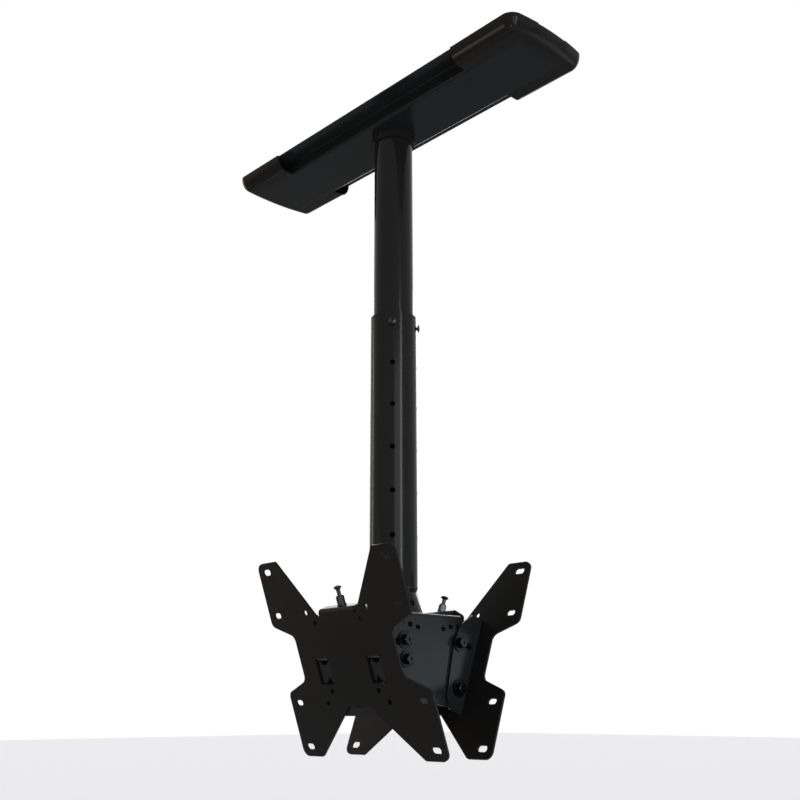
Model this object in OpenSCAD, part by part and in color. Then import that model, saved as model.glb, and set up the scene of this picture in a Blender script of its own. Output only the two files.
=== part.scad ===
// Back-to-back ceiling mount for two screens: a ceiling channel with end caps, a telescopic
// column, a swivel neck with a folded yoke, and two tilting brackets with screen plates.
// The origin is the middle of the ceiling face, +Z is up and the channel runs along X.

/* [Ceiling channel] */
// Length of the channel
channel_l = 480; // [440:10:600]
// Width of the flat panel, across its two webs
panel_w = 74; // [72:1:90]
// Depth of the channel below the ceiling
channel_h = 19; // [14:1:22]
// Width of each flange that lies on the ceiling
flange_w = 24; // [20:0.5:30]
// Sheet thickness of the channel
channel_t = 2; // [1.5:0.25:3]
// Outer bend radius of the channel
channel_bend = 3; // [2.5:0.5:5]
// Distance between the ceiling holes along the channel
ceiling_dx = 400; // [360:10:420]
// Distance between the ceiling holes across the channel
ceiling_dy = 100; // [96:1:104]
// Diameter of the ceiling holes
ceiling_hole_d = 8.5; // [6.5:0.5:10]

/* [End caps] */
// Distance between the two caps
cap_gap = 327; // [280:1:340]
// How far a cap reaches past the end of the channel
cap_over = 21; // [20:0.5:26]
// How far a cap reaches past the flange's edge
cap_side = 2.2; // [0.8:0.1:3]
// Wall of a cap
cap_wall = 2; // [1.5:0.25:2.5]
// Width of the rounded edge round a cap, seen from below
cap_round = 15; // [14:0.5:19]
// Plan radius of the bowed end
bow_r = 320; // [250:10:600]
// Width of the shallow recess in a cap's end, at its bottom
recess_w = 32; // [20:1:36]
// Width of the recess at the ceiling
recess_top_w = 46; // [38:1:60]
// Height of the recess below the ceiling
recess_h = 11; // [6:0.5:11]
// Depth of the recess into the rounded edge
recess_depth = 0.9; // [0.5:0.1:1.2]

/* [Column] */
// Outside diameter of the upper tube
inner_d = 48; // [44:0.5:50]
// Wall of the upper tube
inner_t = 2; // [1.5:0.25:3]
// Outside diameter of the lower tube
outer_d = 55; // [55:0.5:60]
// Wall of the lower tube
outer_t = 2.5; // [2:0.25:2.5]
// Length of the lower tube
outer_l = 323.5; // [320:0.5:420]
// Length of upper tube in view between the panel and the lower tube
reveal = 248.6; // [220:0.1:300]
// How far the upper tube reaches into the lower one
engage = 38; // [34:1:60]
// Distance between height holes
hole_pitch = 50.8; // [40:0.1:50.8]
// Number of height holes in a row
hole_count = 6; // [3:1:6]
// Diameter of the height holes
height_hole_d = 6; // [5:0.5:7]
// Distance from the lower tube's rim to the first hole
first_hole = 13; // [12:0.5:16]
// Height of the socket under the panel
socket_h = 13; // [11:0.5:18]
// Wall of the socket
socket_t = 3; // [2.5:0.25:4]
// Height of each guide bush
bush_h = 8; // [6:0.5:8]

/* [Swivel neck] */
// Height of the neck from the yoke to the thrust ring
neck_h = 30.2; // [28:0.1:40]
// Radius of the neck's waist
waist_r = 25.7; // [23:0.1:27]
// Distance of the waist below the neck's top
waist_drop = 4.5; // [3:0.5:8]
// Radius of the neck's foot
foot_r = 34; // [30:0.1:38]
// Height of the neck's plain foot rim
foot_rim = 2; // [1:0.5:4]
// Radius of the swivel spigot
spigot_r = 17; // [14:0.5:18]
// Height of the spigot's plug inside the lower tube
plug_h = 8; // [6:0.5:14]
// Thickness of the thrust ring
ring_t = 1; // [0.8:0.1:2]
// Diameter of the retaining bolt
retainer_d = 10; // [8:1:12]
// Radius of the washer under the retaining bolt's head
retainer_washer_r = 14; // [11:0.5:16]

/* [Yoke] */
// Width across the yoke's side plates
yoke_w = 118; // [112:0.5:130]
// Depth of the yoke's side plates
yoke_d = 96.4; // [94:0.2:97]
// Sheet thickness of the yoke
yoke_t = 3; // [2.5:0.25:4]
// Outer bend radius of the yoke
yoke_bend = 4; // [3.5:0.5:5]
// Distance from the screen centres up to the yoke's top
yoke_top = 44.3; // [44:0.1:48]
// Distance from the screen centres down to the side plates' lowest corners
yoke_low = 55; // [52:0.5:60]
// Rise of the side plates' bottom edge at the middle
yoke_arch = 7; // [4:0.5:12]
// Depth of the turned-down lips at the yoke's front and back
yoke_lip = 9; // [6:0.5:12]

/* [Tilt] */
// Tilt of the screens away from upright
tilt = 20; // [10:1:20]
// Travel of the tilt from rest to upright, with a little to spare
tilt_travel = 20.9; // [20.5:0.1:21.5]
// Distance of each tilt pivot from the column's axis
pivot_y = 38.3; // [37:0.1:40]
// Height of the tilt pivots against the screen centres at rest
pivot_z = -32.8; // [-36:0.1:-30]
// Height of the pivot on a screen plate, from the plate's centre
pivot_v = -40.8; // [-44:0.1:-38]
// Distance of the pivot behind the middle of a screen plate
pivot_d = 16.1; // [15:0.1:18]
// Distance from the pivot to the tilt bolt
tilt_bolt_r = 47.6; // [44:0.1:50]
// Angle of the tilt bolt at the pivot, inwards from upright
tilt_bolt_a = -3.3; // [-5:0.1:0]
// Distance from the pivot to the lock bolt
lock_bolt_r = 28; // [24:0.5:32]
// Angle of the lock bolt at the pivot, inwards from upright
lock_bolt_a = 0.2; // [-2:0.1:2]
// Distance from the pivot to the stop holes
stop_hole_r = 65; // [64:0.5:68]
// Angle of the first stop hole, inwards from upright
stop_hole_a = -3; // [-5:0.5:0]
// Angle between stop holes
stop_step = 10.1; // [8:0.1:11]
// Diameter of the stop holes
stop_hole_d = 6.5; // [5:0.5:7]

/* [Tilt brackets] */
// Sheet thickness of a tilt bracket
bracket_t = 2.5; // [2:0.25:3]
// Gap between the yoke's side and the bracket's flange
bracket_gap = 0.3; // [0.3:0.1:0.8]
// Outer bend radius of a bracket
bracket_bend = 3.25; // [3.25:0.25:6]
// Top edge of a bracket's flanges, from the plate's centre
bracket_up = 42.4; // [40:0.2:43]
// Bottom edge of a bracket, from the plate's centre
bracket_down = 65.8; // [60:0.2:70]
// Reach of a flange behind the middle of the plate
bracket_reach = 37.2; // [36:0.2:40]
// Radius of the round window in the bracket's web
web_hole_r = 25; // [18:0.5:26]
// Height of the round window's centre
web_hole_v = -31.5; // [-33:0.5:-30]

/* [Screen plates] */
// Width and height of a screen plate
plate_w = 229.5; // [224:0.5:240]
// Height of a screen plate, without its hook
plate_hh = 222; // [216:1:230]
// Sheet thickness of a plate
plate_t = 2.4; // [2:0.1:3]
// Width of the plate at its waist
plate_waist = 159; // [150:1:165]
// Half width of the flat at the lower notch
notch_flat = 15.5; // [10:0.5:20]
// Height of that flat below the plate's centre
notch_v = 54; // [50:0.5:58]
// Half distance between the inner corners of two arms
arm_in = 81.4; // [78:0.2:86]
// Height of the outer corners where an arm leaves the side, from the plate's centre
shoulder_v = 38.6; // [36:0.2:42]
// Half height of the straight stretch at the waist
waist_v = 25; // [22:0.5:28]
// Width of the folded hook at the top
hook_w = 55.4; // [50:0.2:58]
// Height of the hook's top face, from the plate's centre
hook_top = 51.8; // [51:0.2:54]
// Depth of the hook behind the middle of the plate
hook_d = 19.5; // [18:0.5:24]
// Length of the hook's turned-down lip
hook_lip = 11; // [8:0.5:11]
// Outer bend radius of the hook
hook_bend = 4.5; // [4:0.5:5.5]
// Width of each window
window_w = 22.4; // [20:0.2:24]
// Height of each window
window_h = 30; // [26:0.5:32]
// Distance of each window's centre from the middle
window_u = 42.2; // [41:0.1:44]
// Distance between the slots at the ends of the arms
slot_pattern = 200; // [190:1:206]
// Distance between the holes of the larger square of screen holes
large_pattern = 100; // [92:1:106]
// Distance between the holes of the smaller square of screen holes
small_pattern = 75; // [72:1:80]
// Screw hole diameter of the 75 and 100 patterns
screen_hole_d = 6.2; // [5:0.1:7]
// Length of the slots at the 200 by 200 corners
corner_slot_l = 13.6; // [12:0.2:18]
// Width of the slots at the 200 by 200 corners
corner_slot_w = 7; // [6.4:0.1:9]
// Length of the slots at the 200 by 100 corners
side_slot_l = 12; // [10:0.5:16]
// Width of the slots at the 200 by 100 corners
side_slot_w = 6.4; // [6:0.1:8]

/* [Fasteners] */
// Diameter of the tilt, pivot and lock bolts
bolt_d = 6; // [5:0.5:6]
// Width across the flats of their heads
head_af = 10; // [8:0.5:10]
// Height of their heads
head_h = 4.2; // [3:0.2:5]
// Diameter of the large flat washers
washer_d = 18.6; // [16:0.2:19]
// Thickness of the flat washers and lock washers
washer_t = 1.6; // [1:0.1:2]
// Diameter of the lock washers
lock_washer_d = 11.6; // [10:0.2:13]
// Height of the nuts
nut_h = 5; // [4:0.5:6]
// Head diameter of the height screws
button_d = 9.5; // [9:0.5:12]
// Head height of the height screws
button_h = 3.2; // [2.5:0.1:4]
// Gap between the lower tube and the head of a height screw
button_gap = 1.4; // [0.5:0.1:2]
// Diameter of the neck under that head
button_neck_d = 4; // [3.5:0.1:5]

/* [Plungers] */
// Distance of each plunger behind the middle of its plate
plunger_d = 10.8; // [9.5:0.1:12]
// Width across the flats of the barrel
barrel_af = 8; // [7.6:0.2:9]
// Height of the barrel above the hook
barrel_h = 11; // [11:0.5:14]
// Diameter of the pull pin
pin_d = 4.5; // [4:0.1:4.6]
// Length of pin in view above the barrel
pin_reveal = 6.2; // [6:0.2:12]
// Diameter of the pin's head
knob_d = 8.8; // [8:0.2:11]
// Height of the pin's head
knob_h = 4.5; // [3:0.5:6]
// Diameter of the pin's nose
nose_d = 4; // [3.2:0.1:4]
// Pull of the pin
pin_travel = 3.5; // [3.2:0.1:3.5]
// Diameter of the spring's wire
wire_d = 0.5; // [0.4:0.05:0.6]

/* [Hidden] */
$fn = 64;

// Small distance by which one cutting shape passes another
over = 1;
// Radial clearance of a shaft in its bearing
run_fit = 0.06;
// Clearance between pieces that only sit beside each other
side_fit = 0.1;
// Clearance of a screw's end from what it presses on
tip_gap = 0.2;
// Segments in each rounded corner of a sheet outline
corner_n = 6;
// Segments in the rounded edge and corners of a cap
cap_n = 8;
// Height of each flat slice that a cap is stretched over
slice_h = 0.01;
// Corner radius of the recess in a cap's end
recess_corner_r = 2;

black = [0.10, 0.10, 0.105];
black_gloss = [0.13, 0.13, 0.135];
zinc_black = [0.17, 0.17, 0.18];
nylon = [0.22, 0.22, 0.22];
spring_steel = [0.55, 0.55, 0.56];

// Heights, from the ceiling down
rim_z = -channel_h - reveal;
tube_end_z = rim_z - outer_l;
neck_top_z = tube_end_z - ring_t;
yoke_top_z = neck_top_z - neck_h;
screen_z = yoke_top_z - yoke_top;

channel_edge = panel_w / 2 + flange_w;
cap_y0 = channel_edge + cap_side - cap_round;
cap_x1 = cap_gap / 2;
cap_x0 = channel_l / 2 + cap_over - cap_round;
outer_in_r = outer_d / 2 - outer_t;
socket_r = inner_d / 2 + side_fit / 2 + socket_t;

flange_in = yoke_w / 2 + bracket_gap;
flange_out = flange_in + bracket_t;
web_d0 = plate_t / 2;
web_d1 = web_d0 + bracket_t;
head_x0 = flange_out + 2 * washer_t;

// Points of a polygon whose corners are rounded by their own radii
function unit(v) = v / norm(v);
function rounded(pts, radii) = [
    for (i = [0 : len(pts) - 1])
        let (
            b = pts[i],
            a = unit(pts[(i + len(pts) - 1) % len(pts)] - b),
            c = unit(pts[(i + 1) % len(pts)] - b),
            half = acos(max(-1, min(1, a * c))) / 2,
            r = radii[i],
            mid = b + unit(a + c) * r / sin(half),
            turn = a[0] * c[1] - a[1] * c[0] > 0 ? -1 : 1,
            start = b + a * r / tan(half) - mid,
            sweep = turn * (180 - 2 * half)
        )
        each r == 0 ? [b] : [
            for (k = [0 : corner_n])
                let (t = sweep * k / corner_n)
                mid + [start[0] * cos(t) - start[1] * sin(t), start[0] * sin(t) + start[1] * cos(t)]
        ]
];

// One side of an outline, followed by its mirror image from the last point back
function mirrored(pts) = concat(pts, [for (i = [len(pts) - 1 : -1 : 0]) [-pts[i][0], pts[i][1]]]);
function twice(list) = concat(list, [for (i = [len(list) - 1 : -1 : 0]) list[i]]);

module slot(l, w) {
    square([l - w, w], center = true);
    for (s = [-1, 1]) translate([s * (l - w) / 2, 0]) circle(d = w);
}

// Prism that runs along X, drawn in (y, z)
module along_x(x0, x1) {
    translate([x0, 0, 0]) rotate([90, 0, 90]) linear_extrude(x1 - x0) children();
}

// Prism that runs along Y, drawn in (x, z)
module along_y(y0, y1) {
    translate([0, y1, 0]) rotate([90, 0, 0]) linear_extrude(y1 - y0) children();
}

// Hat section with round bends, drawn in (y, z)
module hat_half() {
    bend_in = channel_bend - channel_t;
    translate([-side_fit, -channel_h]) square([panel_w / 2 - channel_bend + side_fit, channel_t]);
    translate([panel_w / 2 - channel_bend, -channel_h + channel_bend]) intersection() {
        difference() {
            circle(r = channel_bend);
            circle(r = bend_in);
        }
        translate([0, -channel_bend]) square(channel_bend);
    }
    translate([panel_w / 2 - channel_t, -channel_h + channel_bend])
        square([channel_t, channel_h - 2 * channel_bend + channel_t]);
    translate([panel_w / 2 + channel_bend - channel_t, -channel_bend]) intersection() {
        difference() {
            circle(r = channel_bend);
            circle(r = bend_in);
        }
        translate([-channel_bend, 0]) square(channel_bend);
    }
    translate([panel_w / 2 + channel_bend - channel_t, -channel_t])
        square([flange_w - channel_bend + channel_t, channel_t]);
}

module ceiling_channel() color(black_gloss) difference() {
    along_x(-channel_l / 2, channel_l / 2) {
        hat_half();
        mirror([1, 0]) hat_half();
    }
    for (sx = [-1, 1], sy = [-1, 1])
        translate([sx * ceiling_dx / 2, sy * ceiling_dy / 2, -channel_t - over])
            cylinder(d = ceiling_hole_d, h = channel_t + 2 * over);
}

// Plan of a cap whose straight edges have been pushed out by r from its flat bottom
function cap_plan(r, x_start) =
    let (
        bow_a = asin(cap_y0 / bow_r),
        corner_x = cap_x0 - bow_r + bow_r * cos(bow_a),
        side = concat(
            [[x_start, -cap_y0 - r]],
            [for (k = [0 : cap_n]) let (t = -90 + (90 - bow_a) * k / cap_n)
                [corner_x + r * cos(t), -cap_y0 + r * sin(t)]],
            [for (k = [1 : cap_n - 1]) let (t = -bow_a + bow_a * k / cap_n)
                [cap_x0 - bow_r + (bow_r + r) * cos(t), (bow_r + r) * sin(t)]]
        )
    )
    concat(side, [[cap_x0 + r, 0]], [for (i = [len(side) - 1 : -1 : 0]) [side[i][0], -side[i][1]]]);

// Form of a cap, pulled in by a wall: an elliptic edge round a flat bottom, cut off at a height
module cap_form(inset, x_start, top_z) {
    r = cap_round - inset;
    h = channel_h - inset;
    hull() for (k = [0 : cap_n]) translate([0, 0, -max(h * sin(90 * k / cap_n), slice_h)])
        linear_extrude(k == 0 ? top_z + slice_h : slice_h)
            polygon(cap_plan(r * cos(90 * k / cap_n), x_start));
}

// Outline of the recess in the cap's end, drawn in (y, z)
module recess_face() {
    top = recess_top_w / 2;
    low = recess_w / 2;
    polygon(rounded(
        [[top, over], [-top, over], [-top, 0], [-low, -recess_h], [low, -recess_h], [top, 0]],
        [0, 0, 0, recess_corner_r, recess_corner_r, 0]
    ));
}

// Room for the channel's end, drawn in (y, z): its own section with a clearance
module channel_room() {
    flat = panel_w / 2 - channel_bend;
    bend_z = -channel_h + channel_bend;
    for (s = [0, 1]) mirror([s, 0]) {
        translate([-over, -channel_h - over]) square([flat + over, channel_h + 2 * over]);
        translate([flat, bend_z]) circle(r = channel_bend + side_fit);
        translate([0, bend_z]) square([panel_w / 2 + side_fit, over - bend_z]);
        translate([0, -channel_t - side_fit]) square([channel_edge + side_fit, channel_t + side_fit + over]);
    }
}

module end_cap() difference() {
    cap_form(0, cap_x1, 0);
    cap_form(cap_wall, cap_x1 - over, over);
    along_x(cap_x1 - over, channel_l / 2 + side_fit) channel_room();
    difference() {
        along_x(cap_x0 - over, cap_x0 + cap_round + over) recess_face();
        cap_form(recess_depth, cap_x1, 2 * over);
    }
}

module end_cap_left() color(black_gloss) rotate([0, 0, 180]) end_cap();
module end_cap_right() color(black_gloss) end_cap();

socket_screw_d = 6;
socket_screw_z = -channel_h - socket_h / 2;
socket_angles = [-90, 30, 150];

module column_socket() color(black) difference() {
    translate([0, 0, -channel_h - socket_h]) cylinder(r = socket_r, h = socket_h);
    translate([0, 0, -channel_h - socket_h - over])
        cylinder(r = inner_d / 2 + side_fit / 2, h = socket_h + 2 * over);
    for (a = socket_angles)
        rotate([0, 0, a]) translate([inner_d / 2 - over, 0, socket_screw_z])
            rotate([0, 90, 0]) cylinder(d = socket_screw_d, h = socket_t + 3 * over);
}

// Headless screw along +X from x0 to x1, with a hexagon socket in its outer end
module set_screw(x0, x1, d) {
    translate([x0, 0, 0]) rotate([0, 90, 0]) difference() {
        cylinder(d = d, h = x1 - x0);
        translate([0, 0, (x1 - x0) / 2]) cylinder(d = d * 0.55, h = x1 - x0, $fn = 6);
    }
}

module socket_screws() color(zinc_black) for (a = socket_angles)
    rotate([0, 0, a]) translate([0, 0, socket_screw_z])
        set_screw(inner_d / 2 + side_fit / 2, socket_r - 0.4, socket_screw_d - side_fit);

module tube(r, t, z0, z1) {
    translate([0, 0, z0]) difference() {
        cylinder(r = r, h = z1 - z0, $fn = 96);
        translate([0, 0, -over]) cylinder(r = r - t, h = z1 - z0 + 2 * over, $fn = 96);
    }
}

module upper_tube() color(black) tube(inner_d / 2, inner_t, rim_z - engage, -channel_h);

// Nylon ring on the upper tube's end, turned in below the tube
module lower_guide_bush() color(nylon) {
    z0 = rim_z - engage;
    tube(outer_in_r - run_fit, outer_in_r - run_fit - inner_d / 2, z0, z0 + bush_h);
    tube(outer_in_r - run_fit, outer_in_r - run_fit - inner_d / 2 + inner_t, z0 - inner_t, z0);
}

module upper_guide_bush() color(nylon)
    tube(outer_in_r, outer_in_r - inner_d / 2 - run_fit, rim_z - bush_h, rim_z);

height_angles = [-45, 45];

module lower_tube() color(black) difference() {
    tube(outer_d / 2, outer_t, tube_end_z, rim_z);
    for (a = height_angles, i = [0 : hole_count - 1])
        rotate([0, 0, a]) translate([inner_d / 2, 0, rim_z - first_hole - i * hole_pitch])
            rotate([0, 90, 0]) cylinder(d = height_hole_d, h = outer_d / 2);
}

// Raised-head screw along +X whose end presses on the upper tube: thread, neck, flare and dome
module height_screw() {
    head_x = outer_d / 2 + button_gap;
    flare_h = button_h / 4;
    dome_h = button_h - flare_h;
    r = button_d / 2;
    dome_r = (r * r + dome_h * dome_h) / (2 * dome_h);
    rotate([0, 90, 0]) difference() {
        union() {
            translate([0, 0, inner_d / 2 + tip_gap])
                cylinder(d = height_hole_d - side_fit, h = (outer_d - inner_d) / 2 - tip_gap);
            translate([0, 0, outer_d / 2 - over]) cylinder(d = button_neck_d, h = button_gap + 2 * over);
            translate([0, 0, head_x]) cylinder(d1 = button_neck_d, d2 = button_d, h = flare_h);
            translate([0, 0, head_x + flare_h]) rotate_extrude() intersection() {
                translate([0, dome_h - dome_r]) circle(r = dome_r);
                square([r, dome_h]);
            }
        }
        translate([0, 0, head_x + button_h / 2]) cylinder(d = button_d * 0.42, h = button_h, $fn = 6);
    }
}

module height_screws() color(zinc_black) for (a = height_angles)
    rotate([0, 0, a]) translate([0, 0, rim_z - first_hole]) height_screw();

spigot_low = yoke_top_z + 2 * run_fit;

module swivel_spigot() color(zinc_black) difference() {
    union() {
        translate([0, 0, tube_end_z]) cylinder(r = outer_in_r - side_fit / 2, h = plug_h);
        translate([0, 0, spigot_low]) cylinder(r = spigot_r, h = tube_end_z - spigot_low + over);
    }
    translate([0, 0, spigot_low - over]) cylinder(d = retainer_d, h = neck_h + over);
}

module thrust_ring() color(nylon) difference() {
    translate([0, 0, neck_top_z]) cylinder(r = outer_d / 2 - 0.5, h = ring_t);
    translate([0, 0, neck_top_z - over]) cylinder(r = spigot_r + side_fit, h = ring_t + 2 * over);
}

// Head of the retaining bolt, by its thread's diameter
retainer_head_h = retainer_d * 0.64;
retainer_head_r = retainer_d * 0.98;
retainer_washer_t = 2.5;
retainer_z = yoke_top_z - yoke_t - retainer_washer_t;

module retaining_bolt() color(zinc_black) {
    translate([0, 0, retainer_z - retainer_head_h])
        cylinder(r = retainer_head_r, h = retainer_head_h, $fn = 6);
    translate([0, 0, retainer_z - 0.5])
        cylinder(d = retainer_d - 2 * run_fit, h = yoke_t + retainer_washer_t + neck_h * 0.8);
}

module retaining_washer() color(zinc_black) difference() {
    translate([0, 0, retainer_z]) cylinder(r = retainer_washer_r, h = retainer_washer_t - side_fit);
    translate([0, 0, retainer_z - over])
        cylinder(d = retainer_d + side_fit, h = retainer_washer_t + 2 * over);
}

// Lock screws of the neck, a little under its middle, and the radius of its wall there
lock_screw_d = 8;
lock_screw_z = yoke_top_z + neck_h * 0.47;
neck_wall_r = waist_r + (foot_r - waist_r) * 0.45;

module swivel_neck() color(black) difference() {
    translate([0, 0, yoke_top_z]) rotate_extrude() polygon([
        [spigot_r + run_fit, 0], [foot_r, 0], [foot_r, foot_rim],
        [waist_r, neck_h - waist_drop], [outer_d / 2 - 0.2, neck_h], [spigot_r + run_fit, neck_h]
    ]);
    for (a = [0, 180])
        rotate([0, 0, a]) translate([spigot_r - over, 0, lock_screw_z]) rotate([0, 90, 0])
            cylinder(d = lock_screw_d, h = foot_r - spigot_r + 2 * over);
}

module neck_lock_screws() color(zinc_black) for (a = [0, 180])
    rotate([0, 0, a]) translate([0, 0, lock_screw_z])
        set_screw(spigot_r + tip_gap, neck_wall_r - 2, lock_screw_d - side_fit);

// Inverted U, drawn in (x, z) with its top at zero
module yoke_section() {
    bend_in = yoke_bend - yoke_t;
    half = yoke_w / 2;
    translate([-half + yoke_bend, -yoke_t]) square([yoke_w - 2 * yoke_bend, yoke_t]);
    for (s = [0, 1]) mirror([s, 0]) {
        translate([half - yoke_bend, -yoke_bend]) intersection() {
            difference() {
                circle(r = yoke_bend);
                circle(r = bend_in);
            }
            square(yoke_bend);
        }
        translate([half - yoke_t, -yoke_top - yoke_low])
            square([yoke_t, yoke_top + yoke_low - yoke_bend]);
    }
}

// Side plate's outline, drawn in (y, z) with its top at zero
module yoke_side() {
    low = -yoke_top - yoke_low;
    half = yoke_d / 2;
    right = [[half, over], [half, low + 0.3 * yoke_low], [pivot_y, low], [0, low + yoke_arch]];
    polygon(rounded(
        concat(right, [[-right[2][0], right[2][1]], [-right[1][0], right[1][1]], [-half, over]]),
        [0, 10, 10, 20, 10, 10, 0]
    ));
}

// Turned-down lip at the front edge of the yoke's top, drawn in (y, z)
module yoke_lip_section() {
    bend_in = 0.5;
    r = yoke_t + bend_in;
    difference() {
        translate([yoke_d / 2 - yoke_t, -yoke_lip]) square([yoke_t * 1.6, yoke_lip]);
        translate([yoke_d / 2 + 0.6 * yoke_t - r, -r]) difference() {
            square(2 * r);
            circle(r = r);
        }
        translate([yoke_d / 2 - yoke_t - over, -yoke_lip - over])
            square([0.6 * yoke_t + over, yoke_lip + over - yoke_t]);
    }
}

// Place of a bolt or hole at an angle round the front pivot: [y, z] from the screen centres
function round_pivot(r, a) = [-pivot_y + r * sin(a), pivot_z + r * cos(a)];
tilt_bolt_yz = round_pivot(tilt_bolt_r, tilt_bolt_a);
lock_bolt_yz = round_pivot(lock_bolt_r, lock_bolt_a);
pivot_yz = [-pivot_y, pivot_z];

// Cylinder along X through the yoke's sides at [y, z]
module cross_hole(yz, d, x0, x1) {
    translate([x0, yz[0], screen_z + yz[1]]) rotate([0, 90, 0]) cylinder(d = d, h = x1 - x0);
}

module yoke() color(black) difference() {
    translate([0, 0, yoke_top_z]) {
        intersection() {
            along_y(-yoke_d / 2, yoke_d / 2) yoke_section();
            along_x(-yoke_w, yoke_w) yoke_side();
        }
        for (s = [0, 1]) mirror([0, s, 0])
            along_x(-yoke_w / 2 + yoke_bend, yoke_w / 2 - yoke_bend) yoke_lip_section();
    }
    translate([0, 0, yoke_top_z - yoke_t - over])
        cylinder(d = retainer_d, h = yoke_t + 2 * over);
    for (turn = [0, 180]) rotate([0, 0, turn]) {
        for (yz = [tilt_bolt_yz, pivot_yz])
            cross_hole(yz, bolt_d + side_fit, -yoke_w, yoke_w);
        cross_hole(lock_bolt_yz, bolt_d + side_fit, 0, yoke_w);
        for (i = [0 : 2])
            cross_hole(round_pivot(stop_hole_r, stop_hole_a + i * stop_step), stop_hole_d, -yoke_w, yoke_w);
    }
}

// Frame of the front screen plate: origin at its centre, Y towards the column, Z up the plate
module at_plate() {
    translate([0, -pivot_y, screen_z + pivot_z]) rotate([tilt, 0, 0])
        translate([0, -pivot_d, -pivot_v]) children();
}

// Arc slot round the pivot, drawn in the plate's (y, z)
module arc_slot(r, a, w) {
    a0 = a + tilt;
    a1 = a0 - tilt_travel;
    far = 2 * r;
    translate([pivot_d, pivot_v]) {
        intersection() {
            difference() {
                circle(r = r + w / 2, $fn = 128);
                circle(r = r - w / 2, $fn = 128);
            }
            polygon([[0, 0], [far * sin(a0), far * cos(a0)], [far * sin(a1), far * cos(a1)]]);
        }
        for (t = [a0, a1]) translate([r * sin(t), r * cos(t)]) circle(d = w);
    }
}

// U section of a tilt bracket, drawn in the plate's (x, y)
module bracket_section() {
    r_in = bracket_bend - bracket_t;
    translate([-flange_out + bracket_bend, web_d0]) square([2 * (flange_out - bracket_bend), bracket_t]);
    for (s = [0, 1]) mirror([s, 0]) {
        translate([flange_out - bracket_bend, web_d0 + bracket_bend]) intersection() {
            difference() {
                circle(r = bracket_bend);
                circle(r = r_in);
            }
            translate([0, -bracket_bend]) square(bracket_bend);
        }
        translate([flange_in, web_d0 + bracket_bend])
            square([bracket_t, bracket_reach - web_d0 - bracket_bend]);
    }
}

// Flange outline, drawn in the plate's (y, z)
module bracket_side() {
    polygon(rounded(
        [
            [0, bracket_up], [0.51 * bracket_reach, bracket_up], [0.93 * bracket_reach, 0.55 * bracket_up],
            [bracket_reach, 0], [0.81 * bracket_reach, -bracket_down + foot_h],
            [0.58 * bracket_reach, -bracket_down], [0, -bracket_down]
        ],
        [0, 6, 10, 20, 9, 4, 0]
    ));
}

// Height of the slanted foot of a bracket's flange
foot_h = 11;
// Ledge at the bracket's top that the plate hangs over
ledge_w = hook_w - 6;
ledge_top = hook_top - plate_t - tip_gap;
ledge_d = hook_d - hook_bend;
// Tongue that each window hook rests on, with a round bite in its top and a notch in its foot
tongue_w = 18.5;
tongue_top = -5.5;
bite_r = 6.3;
bite_v = -3.2;
notch_l = -7.3;
notch_r = 6.3;
notch_tip = [-4, -22];
window_gap = 0.5;
slot_w = bolt_d + 1;
web_clear_d = 9;
// Holes of the patterns that lie in front of the bracket's web
web_holes = [
    [small_pattern, small_pattern], [small_pattern, -small_pattern], [large_pattern, -large_pattern]
] / 2;

// Openings in the bracket's web behind one window of the plate, drawn in (x, z)
module hook_opening() {
    translate([window_u, 0]) {
        translate([-window_w / 2 - window_gap, -window_h - window_gap]) difference() {
            square([window_w + 2 * window_gap, window_h + 4 * window_gap]);
            translate([window_w / 2 + window_gap - tongue_w / 2, -over])
                square([tongue_w, window_h + window_gap + tongue_top + over]);
        }
        translate([0, bite_v]) circle(r = bite_r);
        polygon([[notch_l, -window_h - window_gap], notch_tip, [notch_r, -window_h - window_gap]]);
    }
}

module tilt_bracket() at_plate() difference() {
    union() {
        intersection() {
            translate([0, 0, -bracket_down]) linear_extrude(bracket_down + bracket_up) bracket_section();
            along_x(-flange_out, flange_out) bracket_side();
        }
        along_x(-ledge_w / 2, ledge_w / 2) {
            translate([web_d0, bracket_up - 2 * bracket_t])
                square([bracket_t, ledge_top - bracket_bend - bracket_up + 2 * bracket_t]);
            translate([web_d0 + bracket_bend, ledge_top - bracket_bend]) intersection() {
                difference() {
                    circle(r = bracket_bend);
                    circle(r = bracket_bend - bracket_t);
                }
                translate([-bracket_bend, 0]) square(bracket_bend);
            }
            translate([web_d0 + bracket_bend, ledge_top - bracket_t])
                square([ledge_d - web_d0 - bracket_bend, bracket_t]);
        }
    }
    along_y(0, bracket_bend + over) {
        for (s = [0, 1]) mirror([s, 0]) {
            hook_opening();
            for (uv = web_holes) translate(uv) circle(d = web_clear_d);
        }
        translate([0, web_hole_v]) circle(r = web_hole_r);
    }
    translate([0, plunger_d, ledge_top - 2 * bracket_t]) cylinder(d = nose_d + 0.6, h = 3 * bracket_t);
    translate([-2 * flange_out, 0, 0]) along_x(0, 4 * flange_out) {
        translate([pivot_d, pivot_v]) circle(d = bolt_d + 2 * run_fit);
        arc_slot(tilt_bolt_r, tilt_bolt_a, slot_w);
    }
    along_x(0, 2 * flange_out) arc_slot(lock_bolt_r, lock_bolt_a, slot_w);
}

// Outline of the plate without its hook, drawn in (x, z)
module plate_outline() {
    hw = plate_w / 2;
    hh = plate_hh / 2;
    waist = plate_waist / 2;
    upper = [
        [hook_w / 2 + 6, hook_top - 5.5], [arm_in, hh], [hw, hh], [hw, shoulder_v],
        [waist, waist_v], [waist, -waist_v], [hw, -shoulder_v], [hw, -hh], [arm_in, -hh],
        [notch_flat, -notch_v]
    ];
    radii = [2, 5, 9, 8, 9, 9, 8, 9, 5, 2];
    polygon(rounded(mirrored(upper), twice(radii)));
}

barrel_hole_d = barrel_af;

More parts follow.
